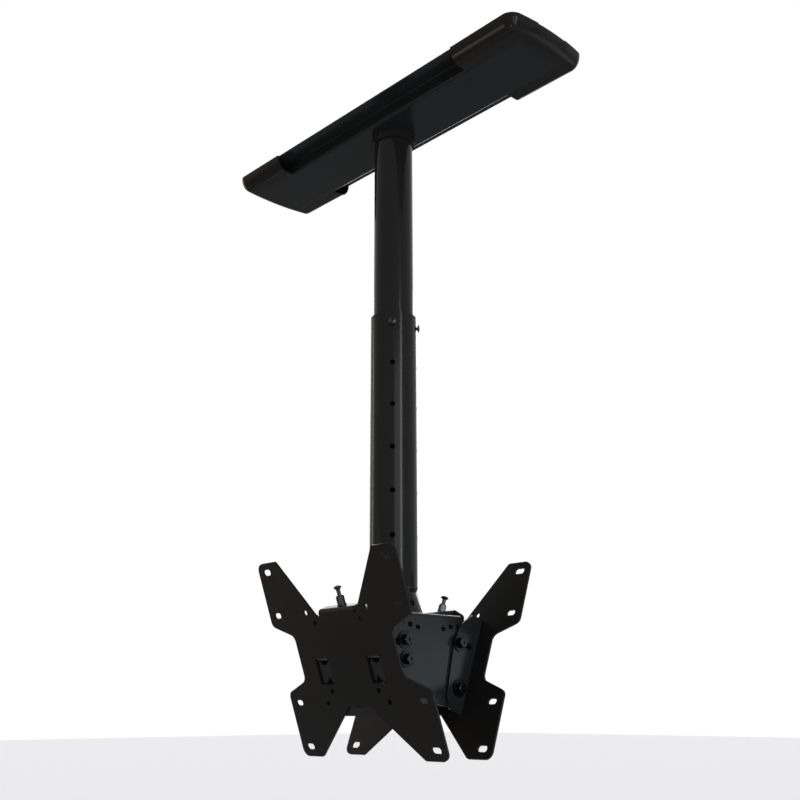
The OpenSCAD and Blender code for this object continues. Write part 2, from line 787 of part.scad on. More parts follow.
// Window hook: the metal of each window is bent back and rests on the bracket's tongue
module window_hook() {
    r_out = -tongue_top - side_fit;
    r_in = r_out - plate_t;
    y0 = plate_t / 2 + r_in;
    translate([window_u, 0, 0]) {
        along_x(-tongue_w / 2, tongue_w / 2) {
            translate([y0, 0]) intersection() {
                difference() {
                    circle(r = r_out);
                    circle(r = r_in);
                }
                translate([-r_out, -r_out]) square(r_out);
            }
            translate([y0 - 0.01, -r_out]) square([plate_t + 0.5, plate_t]);
        }
        for (s = [0, 1]) mirror([s, 0, 0])
            along_x(tongue_w / 2 - 3, tongue_w / 2)
                translate([y0 + 0.5, -14]) square([plate_t, 14 - r_out + 0.01]);
    }
}

module screen_plate() at_plate() difference() {
    union() {
        difference() {
            along_y(-plate_t / 2, plate_t / 2) {
                plate_outline();
                translate([-hook_w / 2, 0]) square([hook_w, hook_top - hook_bend]);
            }
            along_y(-plate_t, plate_t) for (s = [0, 1]) mirror([s, 0])
                translate([window_u - window_w / 2, -window_h]) polygon(rounded(
                    [[0, 0], [window_w, 0], [window_w, window_h], [0, window_h]], [2, 2, 2, 2]
                ));
            // Relief notches beside the hook
            along_y(-plate_t, plate_t) for (s = [0, 1]) mirror([s, 0])
                polygon([
                    [hook_w / 2, hook_top + over], [hook_w / 2, hook_top - 7],
                    [hook_w / 2 + 3.5, hook_top - 7], [hook_w / 2 + 9, hook_top + over]
                ]);
        }
        // Top hook: bend, top face, bend and lip
        along_x(-hook_w / 2, hook_w / 2) {
            r = hook_bend;
            for (e = [[-plate_t / 2 + r, -1], [hook_d - r, 0]])
                translate([e[0], hook_top - r]) intersection() {
                    difference() {
                        circle(r = r);
                        circle(r = r - plate_t);
                    }
                    translate([e[1] * r, 0]) square(r);
                }
            translate([-plate_t / 2 + r, hook_top - plate_t])
                square([hook_d + plate_t / 2 - 2 * r, plate_t]);
            translate([hook_d - plate_t, hook_top - hook_lip]) square([plate_t, hook_lip - r]);
        }
        for (s = [0, 1]) mirror([s, 0, 0]) window_hook();
    }
    along_y(-plate_t, plate_t) for (su = [-1, 1], sv = [-1, 1]) {
        translate([su, sv] * slot_pattern / 2) slot(corner_slot_l, corner_slot_w);
        translate([su * slot_pattern, sv * large_pattern] / 2) slot(side_slot_l, side_slot_w);
        for (p = [small_pattern, large_pattern]) translate([su, sv] * p / 2) circle(d = screen_hole_d);
    }
    translate([0, plunger_d, hook_top - 2 * plate_t]) cylinder(d = barrel_hole_d, h = 3 * plate_t);
}

// Places of the bolts on both sides: [y, z] with the sides that hold one
both = [-1, 1];
bolt_places = [[pivot_yz, both], [tilt_bolt_yz, both], [lock_bolt_yz, [1]]];

// Shape along +X for each listed bolt place
module at_bolts(places) {
    for (p = places, s = p[1])
        translate([0, p[0][0], screen_z + p[0][1]]) rotate([0, 0, s > 0 ? 0 : 180]) children();
}

module cross_bolt() {
    recess = head_h / 2;
    rotate([0, 90, 0]) difference() {
        union() {
            translate([0, 0, yoke_w / 2 - yoke_t - nut_h - 1])
                cylinder(d = bolt_d, h = head_x0 - yoke_w / 2 + yoke_t + nut_h + 1);
            translate([0, 0, head_x0]) intersection() {
                cylinder(d = head_af / cos(30), h = head_h, $fn = 6);
                cylinder(r1 = head_af * 0.7, r2 = head_af * 0.52, h = head_h);
            }
        }
        for (q = [0, 90]) rotate([0, 0, q])
            translate([-head_af * 0.28, -0.6, head_x0 + head_h - recess])
                cube([head_af * 0.56, 1.2, head_h]);
    }
}

module flat_washer() {
    translate([flange_out, 0, 0]) rotate([0, 90, 0]) difference() {
        cylinder(d = washer_d, h = washer_t);
        translate([0, 0, -over]) cylinder(d = bolt_d + side_fit, h = washer_t + 2 * over);
    }
}

// Split ring: its cut runs at a slant across one side
module lock_washer() {
    translate([flange_out + washer_t, 0, 0]) rotate([0, 90, 0]) difference() {
        cylinder(d = lock_washer_d, h = washer_t);
        translate([0, 0, -over]) cylinder(d = bolt_d + side_fit, h = washer_t + 2 * over);
        translate([bolt_d / 2 - over, 0, washer_t / 2]) rotate([30, 0, 0])
            translate([0, -0.4, -2 * washer_t]) cube([lock_washer_d, 0.8, 4 * washer_t]);
    }
}

module nut() {
    translate([yoke_w / 2 - yoke_t - nut_h, 0, 0]) rotate([0, 90, 0]) difference() {
        cylinder(d = head_af / cos(30), h = nut_h, $fn = 6);
        translate([0, 0, -over]) cylinder(d = bolt_d, h = nut_h + 2 * over);
    }
}

// Inside of the plunger: spigot in the hook's hole, bore, and collar on the pin
barrel_spigot_d = barrel_hole_d - side_fit;
barrel_bore_d = 6.2;
collar_h = 1.4;
chamber_z0 = hook_top + 1.6;
chamber_z1 = hook_top + barrel_h - 1.6;

module plunger_barrel() at_plate() translate([0, plunger_d, 0]) difference() {
    union() {
        translate([0, 0, hook_top - plate_t]) cylinder(d = barrel_spigot_d, h = plate_t);
        translate([0, 0, hook_top]) cylinder(d = barrel_af + 2.4, h = 1.6);
        translate([0, 0, hook_top]) intersection() {
            cylinder(d = barrel_af / cos(30), h = barrel_h, $fn = 6);
            cylinder(r1 = barrel_af, r2 = barrel_af * 0.47, h = barrel_h);
        }
    }
    translate([0, 0, hook_top - plate_t - over]) cylinder(d = nose_d + 2 * run_fit, h = barrel_h);
    translate([0, 0, chamber_z0]) cylinder(d = barrel_bore_d, h = chamber_z1 - chamber_z0);
    translate([0, 0, chamber_z1 - over]) cylinder(d = pin_d + 2 * run_fit, h = barrel_h);
}

// Pull pin: nose, collar that the spring pushes on, stem and domed head
module plunger_pin() at_plate() translate([0, plunger_d, 0]) {
    knob_z = hook_top + barrel_h + pin_reveal;
    tip_z = ledge_top - bracket_t - 0.5;
    flare_h = 0.45 * knob_h;
    dome_h = 0.35 * knob_h;
    dome_r = (knob_d * knob_d / 4 + dome_h * dome_h) / (2 * dome_h);
    translate([0, 0, tip_z]) cylinder(d1 = nose_d - 1.2, d2 = nose_d, h = 0.8);
    translate([0, 0, tip_z + 0.8]) cylinder(d = nose_d, h = chamber_z0 + side_fit - tip_z - 0.8);
    translate([0, 0, chamber_z0 + side_fit]) cylinder(d = barrel_bore_d - 0.3, h = collar_h);
    translate([0, 0, chamber_z0 + side_fit + collar_h - 0.01])
        cylinder(d = nose_d, h = chamber_z1 - chamber_z0 - collar_h - pin_travel);
    translate([0, 0, chamber_z1 - pin_travel + side_fit - 0.02])
        cylinder(d = pin_d, h = knob_z - chamber_z1 + pin_travel);
    translate([0, 0, knob_z]) cylinder(d1 = pin_d, d2 = knob_d, h = flare_h);
    translate([0, 0, knob_z + flare_h]) intersection() {
        cylinder(d = knob_d, h = knob_h);
        translate([0, 0, knob_h - flare_h - dome_r]) sphere(r = dome_r);
    }
}

// Compression spring, as a stack of touching turns between collar and barrel
module plunger_spring() at_plate() translate([0, plunger_d, 0]) {
    z0 = chamber_z0 + side_fit + collar_h + wire_d / 2 + run_fit;
    z1 = chamber_z1 - wire_d / 2 - run_fit;
    turns = 4;
    coil_r = barrel_bore_d / 2 - side_fit - wire_d / 2;
    for (i = [0 : turns]) translate([0, 0, z0 + (z1 - z0) * i / turns])
        rotate_extrude($fn = 24) translate([coil_r, 0]) circle(d = wire_d, $fn = 16);
}

module front_tilt_bracket() color(black) tilt_bracket();
module front_screen_plate() color(black) screen_plate();
module front_pivot_bolts() color(zinc_black) at_bolts([bolt_places[0]]) cross_bolt();
module front_tilt_bolts() color(zinc_black) at_bolts([bolt_places[1]]) cross_bolt();
module front_lock_bolt() color(zinc_black) at_bolts([bolt_places[2]]) cross_bolt();
module front_flat_washers() color(zinc_black) at_bolts(bolt_places) flat_washer();
module front_lock_washers() color(zinc_black) at_bolts(bolt_places) lock_washer();
module front_nuts() color(zinc_black) at_bolts(bolt_places) nut();
module front_plunger_barrel() color(zinc_black) plunger_barrel();
module front_plunger_pin() color(zinc_black) plunger_pin();
module front_plunger_spring() color(spring_steel) plunger_spring();

// The rear set is the front set turned half round about the column
module rear() { rotate([0, 0, 180]) children(); }

module rear_tilt_bracket() rear() front_tilt_bracket();
module rear_screen_plate() rear() front_screen_plate();
module rear_pivot_bolts() rear() front_pivot_bolts();
module rear_tilt_bolts() rear() front_tilt_bolts();
module rear_lock_bolt() rear() front_lock_bolt();
module rear_flat_washers() rear() front_flat_washers();
module rear_lock_washers() rear() front_lock_washers();
module rear_nuts() rear() front_nuts();
module rear_plunger_barrel() rear() front_plunger_barrel();
module rear_plunger_pin() rear() front_plunger_pin();
module rear_plunger_spring() rear() front_plunger_spring();

ceiling_channel();
end_cap_left();
end_cap_right();
column_socket();
socket_screws();
upper_tube();
lower_guide_bush();
upper_guide_bush();
lower_tube();
height_screws();
swivel_spigot();
thrust_ring();
retaining_bolt();
retaining_washer();
swivel_neck();
neck_lock_screws();
yoke();
front_tilt_bracket();
front_screen_plate();
front_pivot_bolts();
front_tilt_bolts();
front_lock_bolt();
front_flat_washers();
front_lock_washers();
front_nuts();
front_plunger_barrel();
front_plunger_pin();
front_plunger_spring();
rear_tilt_bracket();
rear_screen_plate();
rear_pivot_bolts();
rear_tilt_bolts();
rear_lock_bolt();
rear_flat_washers();
rear_lock_washers();
rear_nuts();
rear_plunger_barrel();
rear_plunger_pin();
rear_plunger_spring();
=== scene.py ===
import math

import bmesh
import bpy
from mathutils import Matrix, Vector


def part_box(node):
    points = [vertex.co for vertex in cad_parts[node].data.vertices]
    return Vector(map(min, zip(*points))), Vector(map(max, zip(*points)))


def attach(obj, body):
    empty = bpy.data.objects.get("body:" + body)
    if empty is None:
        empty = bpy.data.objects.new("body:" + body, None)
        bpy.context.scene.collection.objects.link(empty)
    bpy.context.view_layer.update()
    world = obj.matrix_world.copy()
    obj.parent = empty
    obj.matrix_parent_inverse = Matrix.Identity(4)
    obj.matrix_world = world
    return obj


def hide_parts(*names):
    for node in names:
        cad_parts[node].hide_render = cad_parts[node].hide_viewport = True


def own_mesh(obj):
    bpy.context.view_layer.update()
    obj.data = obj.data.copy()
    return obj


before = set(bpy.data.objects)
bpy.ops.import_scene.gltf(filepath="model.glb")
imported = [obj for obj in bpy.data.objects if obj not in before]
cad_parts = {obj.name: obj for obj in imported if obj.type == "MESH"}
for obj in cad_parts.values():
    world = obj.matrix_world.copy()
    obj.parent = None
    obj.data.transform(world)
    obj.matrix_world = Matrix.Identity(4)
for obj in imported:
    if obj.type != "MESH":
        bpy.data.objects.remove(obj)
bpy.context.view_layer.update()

# Ceiling channel: a hat section folded from 2 mm steel sheet. Its flanges lie on the ceiling and
# its flat panel carries the column. It is powder-coated black, glossier than the parts below it.

gloss_black = (0.0066, 0.0070, 0.0072)


def powder_coat(name, colour, roughness, sheen_level, grain):
    """Baked powder paint: nearly even colour, a fine orange-peel skin and slightly uneven gloss."""
    paint = bpy.data.materials.new(name)
    paint.use_nodes = True
    nodes, links = paint.node_tree.nodes, paint.node_tree.links
    shader = nodes["Principled BSDF"]
    shader.inputs["Specular IOR Level"].default_value = sheen_level
    place = nodes.new("ShaderNodeTexCoord")
    cloud = nodes.new("ShaderNodeTexNoise")
    cloud.inputs["Scale"].default_value = 14.0
    cloud.inputs["Detail"].default_value = 4.0
    links.new(place.outputs["Object"], cloud.inputs["Vector"])
    tint = nodes.new("ShaderNodeMapRange")
    tint.inputs["To Min"].default_value = 0.85
    tint.inputs["To Max"].default_value = 1.15
    links.new(cloud.outputs["Fac"], tint.inputs["Value"])
    shade = nodes.new("ShaderNodeMixRGB")
    shade.blend_type = "MULTIPLY"
    shade.inputs["Fac"].default_value = 1.0
    shade.inputs["Color1"].default_value = (*colour, 1.0)
    links.new(tint.outputs["Result"], shade.inputs["Color2"])
    links.new(shade.outputs["Color"], shader.inputs["Base Color"])
    gloss = nodes.new("ShaderNodeMapRange")
    gloss.inputs["To Min"].default_value = roughness * 0.85
    gloss.inputs["To Max"].default_value = roughness * 1.15
    links.new(cloud.outputs["Fac"], gloss.inputs["Value"])
    links.new(gloss.outputs["Result"], shader.inputs["Roughness"])
    peel = nodes.new("ShaderNodeTexNoise")
    peel.inputs["Scale"].default_value = grain
    peel.inputs["Detail"].default_value = 2.0
    links.new(place.outputs["Object"], peel.inputs["Vector"])
    bump = nodes.new("ShaderNodeBump")
    bump.inputs["Strength"].default_value = 0.05
    bump.inputs["Distance"].default_value = 0.00002
    links.new(peel.outputs["Fac"], bump.inputs["Height"])
    links.new(bump.outputs["Normal"], shader.inputs["Normal"])
    return paint


def dress(node, material, edge):
    """A CAD node that keeps its shape gets its finish, and its sharp edges are broken."""
    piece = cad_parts[node]
    piece.data.materials.clear()
    piece.data.materials.append(material)
    if edge:
        broken = piece.modifiers.new("broken_edges", "BEVEL")
        broken.width = edge
        broken.segments = 2
        broken.limit_method = "ANGLE"
        broken.angle_limit = math.radians(35)
        broken.harden_normals = True
    return piece


channel_coat = powder_coat("channel_coat", gloss_black, 0.20, 0.05, 700.0)
dress("ceiling_channel", channel_coat, 0.0002)

# End caps: moulded covers of black plastic, open to the ceiling, that slide over the channel's
# ends. A flat bottom runs into an elliptic edge, the end is bowed, and a shallow recess in the
# end has a raised lower lip, where a cap is gripped to pull it off.

cap_start, cap_straight_end, cap_flat_end = 0.1635, 0.24235, 0.246
cap_half_flat, cap_edge, cap_depth, cap_wall = 0.0482, 0.015, 0.019, 0.002
bow_radius = 0.32
seam_x, seam_y, seam_wall = 0.2401, 0.0352, 0.00025
recess_low, recess_top, recess_drop, recess_depth = 0.016, 0.023, 0.011, 0.0009
recess_corner, recess_edge = 0.002, 0.0005
lip_height, lip_width, lip_offset = 0.0006, 0.0005, 0.0004
lip_break, lip_overrun, lip_rise = 0.001, 0.0008, 0.004
rim_fade = 0.05
side_steps, corner_steps, end_steps = 30, 18, 96


def moulded_plastic(name, colour, roughness):
    """Glossy moulded plastic: faint flow marks along the moulding and a very fine skin."""
    plastic = bpy.data.materials.new(name)
    plastic.use_nodes = True
    nodes, links = plastic.node_tree.nodes, plastic.node_tree.links
    shader = nodes["Principled BSDF"]
    shader.inputs["Specular IOR Level"].default_value = 0.05
    place = nodes.new("ShaderNodeTexCoord")
    stretch = nodes.new("ShaderNodeMapping")
    stretch.inputs["Scale"].default_value = (4.0, 60.0, 60.0)
    links.new(place.outputs["Object"], stretch.inputs["Vector"])
    flow = nodes.new("ShaderNodeTexNoise")
    flow.inputs["Scale"].default_value = 1.0
    flow.inputs["Detail"].default_value = 3.0
    links.new(stretch.outputs["Vector"], flow.inputs["Vector"])
    tone = nodes.new("ShaderNodeValToRGB")
    tone.color_ramp.elements[0].position = 0.3
    tone.color_ramp.elements[0].color = tuple(0.8 * c for c in colour) + (1.0,)
    tone.color_ramp.elements[1].position = 0.7
    tone.color_ramp.elements[1].color = tuple(1.3 * c for c in colour) + (1.0,)
    links.new(flow.outputs["Fac"], tone.inputs["Fac"])
    links.new(tone.outputs["Color"], shader.inputs["Base Color"])
    gloss = nodes.new("ShaderNodeMapRange")
    gloss.inputs["To Min"].default_value = roughness * 0.8
    gloss.inputs["To Max"].default_value = roughness * 1.3
    links.new(flow.outputs["Fac"], gloss.inputs["Value"])
    links.new(gloss.outputs["Result"], shader.inputs["Roughness"])
    skin = nodes.new("ShaderNodeTexNoise")
    skin.inputs["Scale"].default_value = 1500.0
    links.new(place.outputs["Object"], skin.inputs["Vector"])
    bump = nodes.new("ShaderNodeBump")
    bump.inputs["Strength"].default_value = 0.06
    bump.inputs["Distance"].default_value = 0.00005
    links.new(skin.outputs["Fac"], bump.inputs["Height"])
    links.new(bump.outputs["Normal"], shader.inputs["Normal"])
    return plastic


def soft_step(value):
    """0 below 0, 1 above 1, and a smooth rise between."""
    value = max(0.0, min(1.0, value))
    return value * value * (3 - 2 * value)


def recess_offset(y, z):
    """How far the cap's end surface lies in (or, at its lip, out) at a point of its end."""
    half = recess_low + (recess_top - recess_low) * (z + recess_drop) / recess_drop
    side, above = half - abs(y), z + recess_drop
    inside = min(side, above)
    if side < recess_corner and above < recess_corner:
        inside = recess_corner - math.hypot(recess_corner - side, recess_corner - above)
    offset = recess_depth * soft_step(inside / recess_edge + 0.5)
    if lip_break < abs(y) < recess_low + lip_overrun:
        offset -= lip_height * math.exp(-((z + recess_drop + lip_offset) / lip_width) ** 2)
    if y > 0 and -recess_drop < z < -recess_drop + lip_rise:
        offset -= lip_height * math.exp(-((y - half - lip_offset) / lip_width) ** 2)
    return offset


def cap_stations():
    """Places along a cap's plan from one inner end round to the other: (centre, direction) of the
    elliptic edge, and the point on the seam round the channel's panel."""
    bow = math.asin(cap_half_flat / bow_radius)
    stations = []
    for k in range(side_steps + 1):
        x = cap_start + (cap_straight_end - cap_start) * k / side_steps
        stations.append((Vector((x, -cap_half_flat)), Vector((0, -1)),
                         Vector((min(x, seam_x), -seam_y))))
    for k in range(1, corner_steps + 1):
        angle = -math.pi / 2 + (math.pi / 2 - bow) * k / corner_steps
        stations.append((Vector((cap_straight_end, -cap_half_flat)),
                         Vector((math.cos(angle), math.sin(angle))), Vector((seam_x, -seam_y))))
    for k in range(1, end_steps + 1):
        angle = -bow + bow * k / end_steps
        out = Vector((math.cos(angle), math.sin(angle)))
        centre = Vector((cap_flat_end - bow_radius, 0)) + out * bow_radius
        stations.append((centre, out, Vector((seam_x, centre.y * seam_y / cap_half_flat))))
    mirrored = [tuple(Vector((v.x, -v.y)) for v in station) for station in stations[:-1]]
    return stations + mirrored[::-1]


def cap_shell(name, turn, plastic, node):
    """A cap's closed skin: outer face, inner face, and the rims that join them. Its section has
    closer steps at the height of the recess's lip."""
    angles = sorted([math.radians(2.5 * k) for k in range(37)]
                    + [math.radians(33.2 + 0.6 * k) for k in range(9)])
    shell = bmesh.new()
    outer, inner = [], []
    for centre, out, seam in cap_stations():
        faces = ([], [])
        for angle in angles:
            normal = Vector((math.cos(angle) / cap_edge, math.sin(angle) / cap_depth)).normalized()
            reach, drop = cap_edge * math.cos(angle), cap_depth * math.sin(angle)
            offset = 0.0
            if centre.x > cap_straight_end:
                offset = recess_offset(centre.y + out.y * reach, -drop)
            reach -= offset * normal.x
            drop -= offset * normal.y * soft_step(angle / rim_fade)
            point = centre + out * reach
            faces[0].append(shell.verts.new((point.x, point.y, -drop)))
            point = centre + out * (cap_edge - cap_wall) * math.cos(angle)
            drop = (cap_depth - cap_wall) * math.sin(angle)
            faces[1].append(shell.verts.new((point.x, point.y, -drop)))
        faces[0].append(shell.verts.new((seam.x, seam.y, -cap_depth)))
        faces[1].append(shell.verts.new((seam.x, seam.y, -cap_depth + seam_wall)))
        outer.append(faces[0])
        inner.append(faces[1])
    for i in range(len(outer) - 1):
        for j in range(len(angles)):
            shell.faces.new((outer[i][j], outer[i][j + 1],
                             outer[i + 1][j + 1], outer[i + 1][j]))
            shell.faces.new((inner[i][j], inner[i + 1][j],
                             inner[i + 1][j + 1], inner[i][j + 1]))
        for j in (0, len(angles)):
            shell.faces.new((outer[i][j], outer[i + 1][j], inner[i + 1][j], inner[i][j]))
    for i in (0, len(outer) - 1):
        for j in range(len(angles)):
            shell.faces.new((outer[i][j], outer[i][j + 1], inner[i][j + 1], inner[i][j]))
    bmesh.ops.remove_doubles(shell, verts=shell.verts, dist=1e-6)
    bmesh.ops.dissolve_degenerate(shell, edges=shell.edges, dist=1e-7)
    bmesh.ops.transform(shell, matrix=Matrix.Rotation(turn, 4, "Z"), verts=shell.verts)
    return finished(name, shell, plastic, "cap_plastic", "ceiling_unit", node)


def finished(name, skin, material, slot, body, *nodes):
    """Turns a built skin into a piece: closed, smooth but for its real edges, dressed, and riding
    on its body."""
    bmesh.ops.recalc_face_normals(skin, faces=skin.faces)
    mesh = bpy.data.meshes.new(name)
    skin.to_mesh(mesh)
    skin.free()
    mesh.shade_smooth()
    mesh.set_sharp_from_angle(angle=math.radians(32))
    mesh.materials.append(material)
    piece = bpy.data.objects.new(name, mesh)
    bpy.context.scene.collection.objects.link(piece)
    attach(piece, body)
    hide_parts(*nodes)
    return piece


cap_plastic = moulded_plastic("cap_plastic", (0.0062, 0.0053, 0.0048), 0.15)
cap_shell("cap_shell_right", 0.0, cap_plastic, "end_cap_right")
cap_shell("cap_shell_left", math.pi, cap_plastic, "end_cap_left")

# Column socket: a short sleeve welded under the panel, powder-coated with it. Three headless
# screws with hexagon sockets, blackened zinc, clamp the upper tube in it.

satin_black = (0.0062, 0.0055, 0.0050)


def black_zinc(name, colour, roughness):
    """Blackened zinc plate: a dull metal with fine rubbed streaks and brighter worn specks."""
    plate = bpy.data.materials.new(name)
    plate.use_nodes = True
    nodes, links = plate.node_tree.nodes, plate.node_tree.links
    shader = nodes["Principled BSDF"]
    shader.inputs["Metallic"].default_value = 1.0
    place = nodes.new("ShaderNodeTexCoord")
    rub = nodes.new("ShaderNodeTexNoise")
    rub.inputs["Scale"].default_value = 420.0
    rub.inputs["Detail"].default_value = 5.0
    rub.inputs["Roughness"].default_value = 0.65
    links.new(place.outputs["Object"], rub.inputs["Vector"])
    tone = nodes.new("ShaderNodeValToRGB")
    tone.color_ramp.elements[0].position = 0.25
    tone.color_ramp.elements[0].color = tuple(0.7 * c for c in colour) + (1.0,)
    tone.color_ramp.elements[1].position = 0.8
    tone.color_ramp.elements[1].color = tuple(1.5 * c for c in colour) + (1.0,)
    links.new(rub.outputs["Fac"], tone.inputs["Fac"])
    links.new(tone.outputs["Color"], shader.inputs["Base Color"])
    gloss = nodes.new("ShaderNodeMapRange")
    gloss.inputs["To Min"].default_value = roughness * 0.75
    gloss.inputs["To Max"].default_value = roughness * 1.25
    links.new(rub.outputs["Fac"], gloss.inputs["Value"])
    links.new(gloss.outputs["Result"], shader.inputs["Roughness"])
    bump = nodes.new("ShaderNodeBump")
    bump.inputs["Strength"].default_value = 0.08
    bump.inputs["Distance"].default_value = 0.00003
    links.new(rub.outputs["Fac"], bump.inputs["Height"])
    links.new(bump.outputs["Normal"], shader.inputs["Normal"])
    return plate


coat = powder_coat("satin_coat", satin_black, 0.30, 0.05, 900.0)
dark_zinc = black_zinc("dark_zinc", (0.022, 0.022, 0.023), 0.36)
dress("column_socket", coat, 0.0003)
dress("socket_screws", dark_zinc, 0.0001)

# Upper tube: a 48 mm steel tube, powder-coated, that slides inside the lower one. A nylon ring
# on its lower end and one in the lower tube's mouth guide it.


def nylon(name, colour):
    """Black moulded nylon: matt, with a slightly cloudy skin."""
    plastic = bpy.data.materials.new(name)
    plastic.use_nodes = True
    nodes, links = plastic.node_tree.nodes, plastic.node_tree.links
    shader = nodes["Principled BSDF"]
    shader.inputs["Specular IOR Level"].default_value = 0.2
    place = nodes.new("ShaderNodeTexCoord")
    cloud = nodes.new("ShaderNodeTexNoise")
    cloud.inputs["Scale"].default_value = 260.0
    cloud.inputs["Detail"].default_value = 3.0
    links.new(place.outputs["Object"], cloud.inputs["Vector"])
    tone = nodes.new("ShaderNodeValToRGB")
    tone.color_ramp.elements[0].color = tuple(0.8 * c for c in colour) + (1.0,)
    tone.color_ramp.elements[1].color = tuple(1.3 * c for c in colour) + (1.0,)
    links.new(cloud.outputs["Fac"], tone.inputs["Fac"])
    links.new(tone.outputs["Color"], shader.inputs["Base Color"])
    gloss = nodes.new("ShaderNodeMapRange")
    gloss.inputs["To Min"].default_value = 0.5
    gloss.inputs["To Max"].default_value = 0.7
    links.new(cloud.outputs["Fac"], gloss.inputs["Value"])
    links.new(gloss.outputs["Result"], shader.inputs["Roughness"])
    bump = nodes.new("ShaderNodeBump")
    bump.inputs["Strength"].default_value = 0.1
    bump.inputs["Distance"].default_value = 0.00004
    links.new(cloud.outputs["Fac"], bump.inputs["Height"])
    links.new(bump.outputs["Normal"], shader.inputs["Normal"])
    return plastic


tube_coat = powder_coat("tube_coat", satin_black, 0.16, 0.08, 800.0)
dress("upper_tube", tube_coat, 0)
bush_nylon = nylon("bush_nylon", (0.012, 0.012, 0.012))
dress("lower_guide_bush", bush_nylon, 0.0002)
dress("upper_guide_bush", bush_nylon, 0.0002)

# Lower tube: a 55 mm steel tube, powder-coated, with two rows of punched height holes.
# A raised-head screw with a hexagon socket in the first hole of each row holds the height.

screw_turns = (-45, 45)
screw_tip, screw_seat, screw_thread, screw_pitch = 0.0242, 0.0275, 0.00295, 0.001
screw_neck, screw_neck_radius, screw_flare, screw_flare_radius = 0.0014, 0.002, 0.0008, 0.0042
screw_head, screw_radius, screw_dome = 0.0024, 0.00475, 80
socket_rim, socket_mouth, socket_floor, socket_depth = 0.0024, 0.0036, 0.0035, 0.0016
turned_sides = 48
thread_depth, thread_steps = 0.55, 5


def hexagon(across_flats):
    """Radius of a hexagon at an angle."""
    return lambda angle: (across_flats / 2
                          / math.cos((angle + math.pi / 6) % (math.pi / 3) - math.pi / 6))


def turned(skin, rings, seat, closed=False):
    """Adds a turned or milled body to a skin: rings of (radius, height), where a radius may change
    with the angle. seat carries the turning axis, +Z, to its place."""
    sides = turned_sides
    rows = []
    for radius, height in rings:
        row = []
        for k in range(sides):
            angle = 2 * math.pi * k / sides
            reach = radius(angle) if callable(radius) else radius
            point = Vector((reach * math.cos(angle), reach * math.sin(angle), height))
            row.append(skin.verts.new(seat @ point))
        rows.append(row)
    joined = list(zip(rows, rows[1:] + rows[:1])) if closed else list(zip(rows, rows[1:]))
    for low, high in joined:
        for k in range(sides):
            skin.faces.new((low[k], low[(k + 1) % sides], high[(k + 1) % sides], high[k]))
    if not closed:
        for row, height in ((rows[0], rings[0][1]), (rows[-1], rings[-1][1])):
            middle = skin.verts.new(seat @ Vector((0, 0, height)))
            for k in range(sides):
                skin.faces.new((row[k], row[(k + 1) % sides], middle))


def thread(radius, pitch, low, high):
    """Rings of a screw thread between two heights: a helical ridge cut into a cylinder."""
    depth = thread_depth * pitch
    steps = max(2, round(thread_steps * (high - low) / pitch))
    rings = []
    for k in range(steps + 1):
        height = low + (high - low) * k / steps

        def ridge(angle, turn=height / pitch):
            return radius - depth * abs(2 * ((turn - angle / (2 * math.pi)) % 1.0) - 1)

        rings.append((ridge, height))
    return rings


dress("lower_tube", tube_coat, 0)
low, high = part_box("height_screws")
screw_height = (low[2] + high[2]) / 2
height_screws = bmesh.new()
for side in screw_turns:
    seat = (Matrix.Translation((0, 0, screw_height))
            @ Matrix.Rotation(math.radians(side), 4, "Z") @ Matrix.Rotation(math.pi / 2, 4, "Y"))
    base = screw_seat + screw_neck
    rings = thread(screw_thread, screw_pitch, screw_tip, screw_seat)
    rings += [(screw_neck_radius, screw_seat), (screw_neck_radius, base),
              (screw_flare_radius, base + screw_flare * 0.6), (screw_radius, base + screw_flare)]
    for k in range(1, 9):
        lift = math.radians(screw_dome) * k / 8
        if screw_radius * math.cos(lift) < socket_rim:
            break
        rings.append((screw_radius * math.cos(lift),
                      base + screw_flare + screw_head * math.sin(lift)))
    top = rings[-1][1]
    rings += [(hexagon(socket_mouth), top + 0.0001), (hexagon(socket_floor), top - socket_depth)]
    turned(height_screws, rings, seat)
screw_zinc = black_zinc("screw_zinc", (0.026, 0.026, 0.028), 0.16)
finished("height_screw_pair", height_screws, screw_zinc, "dark_zinc", "column", "height_screws")

# Swivel: a steel spigot closes the lower tube and turns in the neck on a nylon thrust ring.
# A 10 mm hexagon bolt with a washer, put in from inside the yoke, holds it up.

retainer_flats, retainer_head, retainer_radius, retainer_pitch = 0.017, 0.0064, 0.0049, 0.0015
retainer_face, retainer_bevel, retainer_plain, retainer_point = 0.0074, 0.0083, 0.004, 0.004

dress("swivel_spigot", dark_zinc, 0.0002)
dress("thrust_ring", bush_nylon, 0.0001)
dress("retaining_washer", dark_zinc, 0.0002)
low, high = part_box("retaining_bolt")
retainer = bmesh.new()
head_low, head_high, shank_top = low[2], low[2] + retainer_head, high[2]
rings = [(retainer_face, head_low), (retainer_bevel, head_low + 0.0002),
         (hexagon(retainer_flats), head_low + 0.0009), (hexagon(retainer_flats), head_high),
         (retainer_radius, head_high)]
rings += thread(retainer_radius, retainer_pitch, head_high + retainer_plain, shank_top - 0.0005)
rings += [(retainer_point, shank_top)]
turned(retainer, rings, Matrix.Identity(4))
finished("retaining_bolt_threaded", retainer, dark_zinc, "dark_zinc", "column", "retaining_bolt")

# Neck: a waisted steel collar welded on the yoke and powder-coated with it, in which the spigot
# turns. Two blackened socket screws in its sides lock the swivel.

dress("swivel_neck", tube_coat, 0.0002)
dress("neck_lock_screws", dark_zinc, 0.0001)

# Yoke: an inverted U folded from 3 mm steel, powder-coated, with lips at its front and back and
# stop holes in its sides.

side_coat = powder_coat("yoke_coat", (0.0062, 0.0064, 0.0066), 0.24, 0.10, 900.0)
dress("yoke", side_coat, 0.0002)

